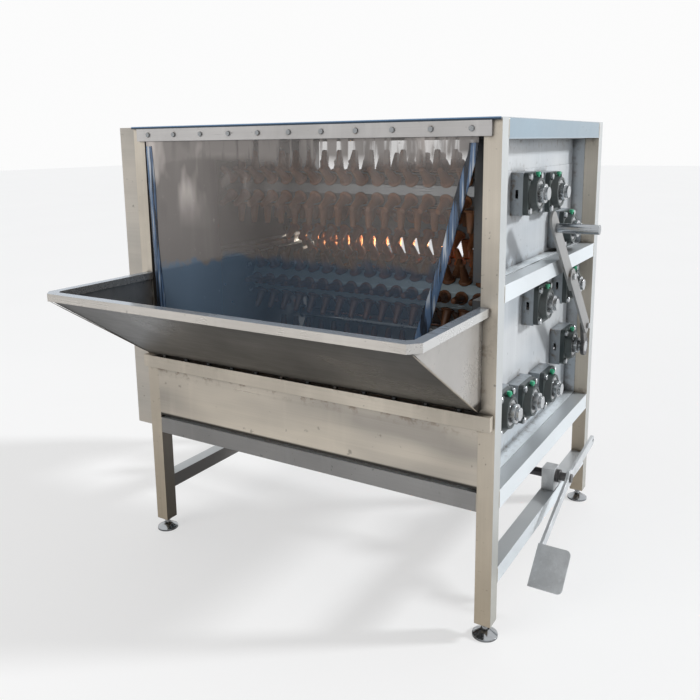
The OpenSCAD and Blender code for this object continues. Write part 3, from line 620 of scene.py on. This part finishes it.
def skin(rings, sides):
    """Faces of a tube of so many rings with so many points each, and of its two ends"""
    last = (rings - 1) * sides
    faces = []
    for start in range(0, last, sides):
        for k in range(sides):
            a, b = start + k, start + (k + 1) % sides
            faces.append((a, b, b + sides, a + sides))
    return faces + [tuple(reversed(range(sides))), tuple(range(last, last + sides))]


def revolve(profile, turns):
    """Rings of a profile of (radius, height) about +Z, closed at both ends; returns verts, faces"""
    verts = []
    for r, z in profile:
        for k in range(turns):
            a = 2 * math.pi * k / turns
            verts.append(Vector((r * math.cos(a), r * math.sin(a), z)))
    return verts, skin(len(profile), turns)


def merge(meshes):
    """Several (verts, faces) as one"""
    verts, faces = [], []
    for some_verts, some_faces in meshes:
        base = len(verts)
        verts += some_verts
        faces += [tuple(base + i for i in f) for f in some_faces]
    return verts, faces


def scatter(verts, faces, places):
    """Copies of one small mesh at each matrix, as one mesh"""
    return merge(([place @ v for v in verts], faces) for place in places)


def bead_mesh(start, end, outward, radius, seed):
    """A run of weld from start to end: a low half-round ridge with overlapping ripples"""
    start, end, outward = Vector(start), Vector(end), Vector(outward).normalized()
    along = end - start
    across = along.normalized().cross(outward)
    step, sides, flatness, sunk = 0.0028, 6, 0.55, 0.0002
    blunt, run_in = 0.35, 6
    low_ripple, ripple, uneven = 0.88, 0.24, 0.08
    steps = max(4, int(along.length / step))
    dice = random.Random(seed)
    verts = []
    for i in range(steps + 1):
        t = i / steps
        taper = min(1.0, run_in * t + blunt, run_in * (1 - t) + blunt)
        size = radius * taper * (low_ripple + ripple * (i % 2) + dice.uniform(-uneven, uneven))
        for k in range(sides + 1):
            a = math.pi * k / sides
            rise = flatness * size * math.sin(a) - sunk
            verts.append(start + along * t + across * (size * math.cos(a)) + outward * rise)
    return verts, skin(steps + 1, sides + 1)


def weld_piece(name, runs, radius, first_seed):
    """Weld beads along runs of (start, end, outward), as one piece of the frame"""
    meshes = [bead_mesh(*run, radius, first_seed + i) for i, run in enumerate(runs)]
    piece = new_piece(name, *merge(meshes), "weld", "frame", smooth=True)


def facing(at, outward):
    """A matrix that puts +Z along outward at a point"""
    return Matrix.Translation(at) @ Vector(outward).to_track_quat("Z", "Y").to_matrix().to_4x4()


def turned_about(axis, degrees):
    """A matrix that turns about one axis"""
    return Matrix.Rotation(math.radians(degrees), 4, axis)


def screw_mesh(radius, height):
    """A domed screw head with a socket. The profile is in shares of the head's radius and height"""
    sunk = -0.0004
    dome = [(1, 0.25), (0.93, 0.65), (0.7, 0.95), (0.5, 1), (0.46, 0.45), (0.1, 0.4)]
    return revolve([(radius * 0.96, sunk)] + [(radius * r, height * z) for r, z in dome], 12)


def socket_mesh(radius):
    """The face of a set screw, with its socket sunk in"""
    face = [(1, 0), (1, 0.0012), (0.8, 0.0014), (0.6, 0.0013), (0.5, 0.0004)]
    return revolve([(radius * r, z) for r, z in face], 10)


def ring_mesh(radius, tube, turns, sides=6):
    """A ring of round wire about +Z"""
    verts, faces = [], []
    for i in range(turns):
        a = 2 * math.pi * i / turns
        for k in range(sides):
            b = 2 * math.pi * k / sides
            r = radius + tube * math.cos(b)
            verts.append(Vector((r * math.cos(a), r * math.sin(a), tube * math.sin(b))))
    for i in range(turns):
        for k in range(sides):
            n, m = (i + 1) % turns, (k + 1) % sides
            faces.append((i * sides + k, n * sides + k, n * sides + m, i * sides + m))
    return verts, faces


def set_finish(finish, *nodes):
    """Give solids of the frame one finish"""
    for node in nodes:
        slots = NODES[node].data.materials
        slots.clear()
        slots.append(MATERIALS[finish])


class FrameLooks(bpy.types.Operator):
    """Finish the frame, covers and panels, and add weld beads, screws and the threads of the feet"""

    bl_idname = "plucker.frame_looks"
    bl_label = "Frame and panels"

    def execute(self, context):
        set_finish("post", "frame_posts")
        set_finish("rail", "frame_rails")
        set_finish("beam", "front_beam")
        set_finish("strip", "clamp_strip")
        set_finish("sheet", "front_skirt")
        set_finish("guard", "rear_cover", "drive_guard")
        set_finish("panel", "right_side_panels", "left_side_panels", "bearing_plates")
        set_finish("standoff", "bearing_standoffs")
        set_finish("top", "top_cover")
        set_finish("chrome", "levelling_feet")
        set_finish("bolt", "front_bolts")
        self.welds(context.scene.plucker_sizes.bead)
        self.screws()
        self.foot_threads()
        return {"FINISHED"}

    def welds(self, radius):
        """Beads where the rails meet the posts, on the outer, upper and lower faces"""
        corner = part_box("frame_posts")[1]
        under_cover = SIDE_RAILS[-1][1]
        runs = []
        for sx in SIDES:
            face, inner = sx * corner.x, sx * corner.x - sx * POST
            for sy in SIDES:
                y = sy * (corner.y - POST)
                for bottom, top in SIDE_RAILS:
                    runs.append(((face, y, bottom), (face, y, top), (sx, 0, 0)))
                    runs.append(((inner, y, bottom), (face, y, bottom), (0, 0, -1)))
                    if top < under_cover:
                        runs.append(((inner, y, top), (face, y, top), (0, 0, 1)))
            for sy, rails in zip(SIDES, (FRONT_RAILS, BACK_RAILS)):
                x, face_y = sx * (corner.x - POST), sy * corner.y
                for bottom, top in rails:
                    runs.append(((x, face_y, bottom), (x, face_y, top), (0, sy, 0)))
                    runs.append(((x, face_y - sy * POST, bottom), (x, face_y, bottom), (0, 0, -1)))
        weld_piece("frame_welds", runs, radius, 0)

    def screws(self):
        """Screw heads round the drive guard, the rear cover and the motor's bracket"""
        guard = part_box("drive_guard")[0].x
        upright = [(y, z) for z in (0.46, 0.72, 0.98, 1.24, 1.46) for y in (-0.516, 0.516)]
        level = [(y, z) for y in (-0.26, 0.0, 0.26) for z in (0.44, 1.48)]
        places = [facing((guard, y, z), (-1, 0, 0)) for y, z in upright + level]

        # The lower sheet's left end is behind the bracket, so it has screws at its right end only
        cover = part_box("rear_cover")[1].y
        lower = [(0.590, z) for z in (0.812, 0.870)]
        upper = [(x, z) for z in (1.086, 1.191, 1.296) for x in (-0.590, 0.590)]
        places += [facing((x, cover, z), (0, 1, 0)) for x, z in lower + upper]

        low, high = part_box("motor_bracket")
        edge, plate = 0.02, 0.542
        places += [facing((x, plate, z), (0, 1, 0))
                   for x in (-0.642, -0.48, -0.33) for z in (low.z + edge, high.z - edge)]
        heads = scatter(*screw_mesh(radius=0.0065, height=0.0038), places)
        piece = new_piece("cover_screws", *heads, "bright", "frame", smooth=True)

    def foot_threads(self):
        """Threads on the bare part of each foot's stem"""
        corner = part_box("frame_posts")[1]
        inset = POST / 2
        pitch, root, crest = 0.0020, 0.0081, 0.0086
        bottom, top = 0.0205, 0.0335
        profile = []
        z = bottom
        while z < top:
            profile += [(root, z), (crest, z + pitch / 2)]
            z += pitch
        places = [Matrix.Translation((sx * (corner.x - inset), sy * (corner.y - inset), 0))
                  for sx in SIDES for sy in SIDES]
        piece = new_piece("foot_threads", *scatter(*revolve(profile, 20), places), "bright", "frame")


class BearingLooks(bpy.types.Operator):
    """Finish the bearings, their inserts, bolts and grease caps, and add set screws"""

    bl_idname = "plucker.bearing_looks"
    bl_label = "Bearings"

    def execute(self, context):
        set_finish("casting", "bearing_housings")
        set_finish("bright", "bearing_inserts", "bearing_bolts")
        set_finish("cap", "grease_caps")
        self.set_screws()
        return {"FINISHED"}

    def set_screws(self):
        """Two socket screws in each collar, a quarter turn apart"""
        low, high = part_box("bearing_inserts")
        collar, inset, sunk = 0.029, 0.009, 0.0006
        places = []
        for x in (low.x + inset, high.x - inset):
            for axis in BEARING_AXES:
                for turn in (205, 295):
                    out = Vector((0, math.cos(math.radians(turn)), math.sin(math.radians(turn))))
                    places.append(facing(Vector((x, axis.y, axis.z)) + out * (collar - sunk), out))
        sockets = scatter(*socket_mesh(radius=0.0046), places)
        piece = new_piece("collar_screws", *sockets, "dark", "frame")


class RollerLooks(bpy.types.Operator):
    """Finish the rollers and stand ribbed rubber fingers in their rows"""

    bl_idname = "plucker.roller_looks"
    bl_label = "Rollers"

    def finger_profile(self, rib):
        """Radius and distance from the axis: a shoulder on the drum, a ribbed taper and a rounded tip"""
        foot, tip = 0.0601, 0.1350
        shoulder, root, end = 0.0240, 0.0180, 0.0110
        shoulder_t, tip_t, slack = 0.0050, 0.004, 0.0002
        low, high, ribs = foot + 0.012, tip - 0.006, 7
        profile = [(shoulder - 0.001, foot), (shoulder, foot + 0.001), (shoulder, foot + 0.0035),
                   (shoulder - 0.0012, foot + 0.0048), (root, foot + shoulder_t)]
        for i in range(2 * ribs + 1):
            z = low + i / (2 * ribs) * (high - low)
            taper = root + (z - foot - shoulder_t) / (tip - tip_t - shoulder_t - foot) * (end - root)
            profile.append((taper - slack - (0.0 if i % 2 else rib), z))
        return profile + [(end - 0.0012, tip - 0.003), (end - 0.0032, tip - 0.0008), (end - 0.006, tip)]

    def execute(self, context):
        verts, faces = revolve(self.finger_profile(context.scene.plucker_sizes.rib_depth), 14)
        stand = turned_about("X", -90)
        pitch, count, rows = 0.063, 17, 6
        first = -pitch * (count - 1) / 2 - pitch / 4
        for name, (turn, handed, rubber) in ROLLERS.items():
            body = name + "_roller"
            # The drums of rollers whose fingers take the darker rubber are painted with a sky reflection
            set_finish("wet_drum" if rubber == "wet" else "drum", name + "_drum")
            set_finish("bright", name + "_shaft")
            hand = Matrix.Scale(-1 if handed else 1, 4, Vector((1, 0, 0)))
            at_axis = Matrix.Translation(AXES[body]) @ hand @ turned_about("X", turn)
            places = [
                at_axis @ turned_about("X", 360 * row / rows)
                @ Matrix.Translation((first + i * pitch, 0, 0)) @ stand
                for row in range(rows) for i in range(count)
            ]
            outward = [tuple(reversed(f)) for f in faces] if handed else faces
            piece = new_piece(name + "_rubber", *scatter(verts, outward, places), rubber, body, smooth=True)
            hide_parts(name + "_fingers")
        return {"FINISHED"}


class HopperLooks(bpy.types.Operator):
    """Finish the hopper and its rim, and lay its weld seams"""

    bl_idname = "plucker.hopper_looks"
    bl_label = "Hopper"

    def execute(self, context):
        set_finish("hopper", "hopper_shell")
        set_finish("rim", "hopper_rim")
        self.seams(context.scene.plucker_sizes.bead)
        return {"FINISHED"}

    def seams(self, radius):
        """Weld seams where the sloping front meets the two side plates"""
        low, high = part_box("hopper_shell")
        foot, under_rim = 0.026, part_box("hopper_rim")[0].z - 0.004
        runs = []
        for x, side in ((low.x, -1), (high.x, 1)):
            bottom = Vector((x, high.y - foot, low.z))
            top = Vector((x, low.y, under_rim))
            down = Vector((0, bottom.z - top.z, top.y - bottom.y)).normalized()
            runs.append((top, bottom, Vector((side, 0, 0)) + down))
        weld_piece("hopper_welds", runs, radius, 100)


class CurtainLooks(bpy.types.Operator):
    """Hang the clear curtain, slack towards its drawn-in corner"""

    bl_idname = "plucker.curtain_looks"
    bl_label = "Curtain"

    def rolled_edge(self, name, line, inward):
        """The sheet's edge rolled on itself: a flattened tube that widens downwards, with a loose turn"""
        sides, forward = 12, -0.001
        width, widening, uneven = 0.013, 0.006, 0.002
        thickness, thickening, loose = 0.0035, 0.002, 0.0012
        verts = []
        for j, point in enumerate(line):
            t = j / (len(line) - 1)
            wide = width + widening * t + uneven * math.sin(9 * t)
            thick = thickness + thickening * t
            middle = Vector(point) + Vector((inward * wide, forward, 0))
            for k in range(sides):
                a = 2 * math.pi * k / sides
                fold = loose * math.sin(3 * a + 5 * t)
                verts.append(middle + Vector((wide * math.cos(a), thick * math.sin(a) + fold, 0)))

        # The line runs down, so the faces are turned over to look outward
        faces = [(f[0], *f[:0:-1]) for f in skin(len(line), sides)]
        piece = new_piece(name, verts, faces, "hem", "curtain", smooth=True)
        return piece

    def sheet_points(self, across, down, wave):
        """Rows of points from the strip down. The right edge is drawn in, and the lower part waves"""
        drawn, straight, lean, off_plane = 0.17, 0.06, 0.008, 0.0005
        verts = []
        for j in range(down + 1):
            t = j / down
            left = lean * t - CURTAIN_HALF
            right = CURTAIN_HALF - drawn * max(0.0, t - straight) / (1 - straight)
            z = CURTAIN_TOP + t * (CURTAIN_BOTTOM - CURTAIN_TOP)
            for i in range(across + 1):
                s = i / across
                long_wave, short_wave = math.sin(5.2 * s + 0.8), math.sin(11.0 * s + 2.0 + 1.5 * t)
                ripple = wave * t * t * (long_wave + 0.5 * short_wave)
                verts.append((left + s * (right - left), CURTAIN_Y - off_plane + ripple * 0.5, z))
        return verts

    def execute(self, context):
        across, down = 60, 40
        row = across + 1
        verts = self.sheet_points(across, down, context.scene.plucker_sizes.curtain_wave)
        corners = (j * row + i for j in range(down) for i in range(across))
        faces = [(a, a + row, a + row + 1, a + 1) for a in corners]
        piece = new_piece("curtain_sheet", verts, faces, "vinyl", "curtain", smooth=True)
        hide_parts("curtain")
        edges = (("left", 0, 1), ("right", across, -1))
        hems = [self.rolled_edge("curtain_hem_" + side, verts[row + i::row], inward)
                for side, i, inward in edges]
        return {"FINISHED"}


class LeverLooks(bpy.types.Operator):
    """Finish the flap, its shaft and the hand lever"""

    bl_idname = "plucker.lever_looks"
    bl_label = "Flap and lever"

    def execute(self, context):
        set_finish("lever", "lever_bars", "outlet_flap")
        set_finish("dark", "lever_crank")
        set_finish("chrome", "lever_grip")
        set_finish("bright", "lever_bolts", "flap_shaft")
        return {"FINISHED"}


class PedalLooks(bpy.types.Operator):
    """Finish the pedal, its shaft and brackets"""

    bl_idname = "plucker.pedal_looks"
    bl_label = "Pedal"

    def execute(self, context):
        set_finish("plate", "pedal_plate", "pedal_arm", "pedal_brackets")
        set_finish("dark", "pedal_shaft")
        return {"FINISHED"}


class DriveLooks(bpy.types.Operator):
    """Finish the motor, its bracket, pulleys and belts, and add the fan's grille"""

    bl_idname = "plucker.drive_looks"
    bl_label = "Drive"

    def execute(self, context):
        set_finish("paint", "drive_motor", "drive_gearbox")
        set_finish("rail", "motor_bracket")
        set_finish("dark", "motor_pulley")
        set_finish("belt", "drive_belts")
        self.fan_grille()
        return {"FINISHED"}

    def fan_grille(self):
        """Wire rings and spokes over the fan's intake, and screws in the terminal box's lid"""
        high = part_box("drive_motor")[1]
        axis = AXES["motor_drive"]
        opening, wire, proud, turns = 0.070, 0.0018, 0.002, 40
        end = facing(Vector((high.x, axis.y, axis.z)), (1, 0, 0))
        before = end @ Matrix.Translation((0, 0, proud))
        disc = revolve([(opening, -0.0002), (opening, 0.0004)], turns)
        intake = new_piece("fan_intake", *scatter(*disc, [end]), "dark", "frame")
        rings = [scatter(*ring_mesh(r, wire, turns), [before]) for r in (0.016, 0.029, 0.042, 0.055, 0.068)]
        spoke = revolve([(wire, 0.010), (wire, 0.069)], 6)
        spokes = [scatter(*spoke, [before @ turned_about("Z", a) @ turned_about("Y", 90)])
                  for a in range(0, 360, 45)]
        grille = new_piece("fan_grille", *merge(rings + spokes), "bright", "frame", smooth=True)
        lid = [Matrix.Translation((x, axis.y + y, high.z)) for x in (-0.518, -0.426) for y in (-0.041, 0.041)]
        heads = scatter(*screw_mesh(radius=0.0045, height=0.003), lid)
        screws = new_piece("terminal_screws", *heads, "bright", "frame", smooth=True)


class StageLooks(bpy.types.Operator):
    """Set the camera, the floor, the lamps and the pale surround"""

    bl_idname = "plucker.stage_looks"
    bl_label = "Stage"

    def place(self, name, data):
        """A new object of the scene"""
        made = bpy.data.objects.new(name, data)
        bpy.context.scene.collection.objects.link(made)
        return made

    def camera(self, stage):
        """The camera fitted to the photograph"""
        yaw, pitch, roll = (math.radians(v) for v in stage.camera_turn)
        forward = Vector((math.sin(yaw) * math.cos(pitch), math.cos(yaw) * math.cos(pitch), -math.sin(pitch)))
        level = Vector((math.cos(yaw), -math.sin(yaw), 0))
        upright = level.cross(forward)
        right = level * math.cos(roll) + upright * math.sin(roll)
        up = upright * math.cos(roll) - level * math.sin(roll)
        lens = bpy.data.cameras.new("photo_camera")
        lens.sensor_width = 36
        lens.lens = stage.lens
        lens.shift_x, lens.shift_y = stage.shift
        lens.clip_end = 200
        made = self.place("photo_camera", lens)
        turn = Matrix((right, up, -forward)).transposed().to_4x4()
        made.matrix_world = Matrix.Translation(stage.camera_at) @ turn
        bpy.context.scene.camera = made

    def floor(self, colour):
        """A wide pale floor, lightened for the camera, that keeps the machine's shadow"""
        reach, lightened = 40.0, 0.55
        made, tree, shader = start_material("floor_paint")
        fine = use(tree, "mottle", Scale=3.0)
        tone = mix(tree, fine["Shade"], shade(colour, 0.985), shade(colour, 1.01))
        join(tree, (tone, shader.inputs["Base Color"]))
        shader.inputs["Roughness"].default_value = 0.9
        pale, path, blend = add(tree, "Emission"), add(tree, "LightPath"), add(tree, "MixShader")
        pale.inputs["Color"].default_value = PALE
        join(tree, (times(tree, path.outputs["Is Camera Ray"], lightened), blend.inputs["Fac"]),
             (shader.outputs[0], blend.inputs[1]), (pale.outputs[0], blend.inputs[2]),
             (blend.outputs[0], tree.nodes["Material Output"].inputs["Surface"]))
        mesh = bpy.data.meshes.new("stage_floor")
        corners = [(-reach, -reach, 0), (reach, -reach, 0), (reach, reach, 0), (-reach, reach, 0)]
        mesh.from_pydata(corners, [], [(0, 1, 2, 3)])
        mesh.materials.append(made)
        self.place("stage_floor", mesh)

    def lamp(self, name, at, aim, size, watts, colour, spread=180):
        """A rectangular lamp that lights but isn't seen. Its spread is in degrees"""
        light = bpy.data.lights.new(name, "AREA")
        light.shape = "RECTANGLE"
        light.size, light.size_y = size
        light.energy = watts
        light.color = colour
        light.spread = math.radians(spread)
        made = self.place(name, light)
        made.visible_camera = made.visible_glossy = False
        made.location = at
        made.rotation_euler = (Vector(aim) - Vector(at)).to_track_quat("-Z", "Y").to_euler()

    def sun(self, name, towards, strength, colour, disc=7):
        """Sunlight from a direction. Its disc, in degrees, softens the shadows"""
        light = bpy.data.lights.new(name, "SUN")
        light.energy, light.color, light.angle = strength, colour, math.radians(disc)
        self.place(name, light).rotation_euler = (-Vector(towards)).to_track_quat("-Z", "Y").to_euler()

    def world(self):
        """A soft surround that is pale where it is seen, mirrored or looked through to"""
        world = bpy.data.worlds.new("pale_surround")
        bpy.context.scene.world = world
        world.use_nodes = True
        tree = world.node_tree
        soft, pale = tree.nodes["Background"], add(tree, "Background")
        soft.inputs["Color"].default_value = (0.97, 0.98, 1.0, 1)
        soft.inputs["Strength"].default_value = 0.50
        pale.inputs["Color"].default_value = PALE
        path, blend = add(tree, "LightPath"), add(tree, "MixShader")
        seen = calculate(tree, "MAXIMUM", path.outputs["Is Camera Ray"], path.outputs["Is Glossy Ray"])
        seen = calculate(tree, "MAXIMUM", seen, path.outputs["Is Transmission Ray"])
        join(tree, (seen, blend.inputs["Fac"]),
             (soft.outputs[0], blend.inputs[1]), (pale.outputs[0], blend.inputs[2]),
             (blend.outputs[0], tree.nodes["World Output"].inputs["Surface"]))

    def execute(self, context):
        stage = context.scene.plucker_stage
        self.camera(stage)
        self.floor(tuple(stage.floor))
        self.world()
        self.sun("key_sun", (0.75, 0.50, 0.38), 3.2, (0.97, 0.985, 1.0))
        self.lamp("front_lamp", (-2.0, -5.0, 3.2), (0, 0, 0.8), (3.0, 2.0), 70, (1.0, 0.96, 0.90))

        # A narrow beam through the low rear window, which lights the middle fingers
        self.lamp("rear_lamp", (1.25, 1.03, 1.04), (0.08, 0.545, 0.99), (0.40, 0.11), 1.8, (1.0, 0.82, 0.66),
                  spread=4)
        context.scene.view_settings.view_transform = "Standard"
        return {"FINISHED"}


PIECE_GROUPS = (
    FrameLooks, BearingLooks, RollerLooks, HopperLooks, CurtainLooks,
    LeverLooks, PedalLooks, DriveLooks, StageLooks,
)


class PluckerPanel(bpy.types.Panel):
    """Settings and pieces of the plucker"""

    bl_idname = "VIEW3D_PT_plucker"
    bl_label = "Plucker"
    bl_space_type = "VIEW_3D"
    bl_region_type = "UI"
    bl_category = "Plucker"

    def draw(self, context):
        """The settings, and a button for each group of pieces"""
        scene = context.scene
        for settings in (scene.plucker_finish, scene.plucker_sizes, scene.plucker_stage):
            for key in settings.bl_rna.properties.keys():
                if key not in ("rna_type", "name"):
                    self.layout.prop(settings, key)
        for piece in PIECE_GROUPS:
            self.layout.operator(piece.bl_idname)


CLASSES = (PluckerFinish, PluckerSizes, PluckerStage, *PIECE_GROUPS, PluckerPanel)


def register():
    """Register the classes and give the scene its settings"""
    for item in CLASSES:
        bpy.utils.register_class(item)
    bpy.types.Scene.plucker_finish = bpy.props.PointerProperty(type=PluckerFinish)
    bpy.types.Scene.plucker_sizes = bpy.props.PointerProperty(type=PluckerSizes)
    bpy.types.Scene.plucker_stage = bpy.props.PointerProperty(type=PluckerStage)


def unregister():
    """Undo what register does"""
    del bpy.types.Scene.plucker_finish
    del bpy.types.Scene.plucker_sizes
    del bpy.types.Scene.plucker_stage
    for item in reversed(CLASSES):
        bpy.utils.unregister_class(item)


def main():
    register()
    make_materials(bpy.context.scene.plucker_finish)
    for piece in PIECE_GROUPS:
        area, verb = piece.bl_idname.split(".")
        getattr(getattr(bpy.ops, area), verb)()


if __name__ == "__main__":
    main()
